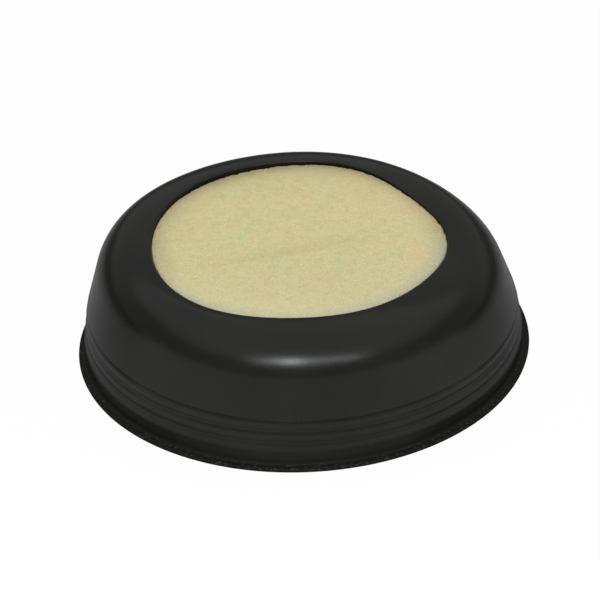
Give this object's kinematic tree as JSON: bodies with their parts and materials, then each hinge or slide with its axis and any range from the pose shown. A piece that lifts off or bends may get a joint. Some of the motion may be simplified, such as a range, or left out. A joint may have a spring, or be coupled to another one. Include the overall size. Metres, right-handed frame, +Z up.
{
  "type": "desk finger moistener",
  "caption": "Round black rubber finger moistener: a low domed cover with beads and a flared lip over a water dish, with a damp sponge disc in the top opening.",
  "frame": {"origin": "on the desk, at the centre of the round base", "axes": "+Z up along the axis that every piece is turned about, -Y towards the viewer"},
  "size_m": [0.09, 0.09, 0.0249],
  "materials": {
    "black_rubber": "satin moulded rubber",
    "dish_plastic": "matt moulded plastic",
    "sponge_foam": "open-cell foam, cut face with fine pores"
  },
  "bodies": {
    "dish": {"water_dish": "dish_plastic"},
    "cover": {"cover": "black_rubber"},
    "sponge": {"sponge": "sponge_foam"}
  },
  "joints": [
    {"name": "cover_lift", "type": "slide", "parent": "dish", "child": "cover", "axis": [0, 0, 1], "range_m": [0, 0.032]},
    {"name": "sponge_lift", "type": "slide", "parent": "dish", "child": "sponge", "axis": [0, 0, 1], "range_m": [0, 0.03]}
  ]
}
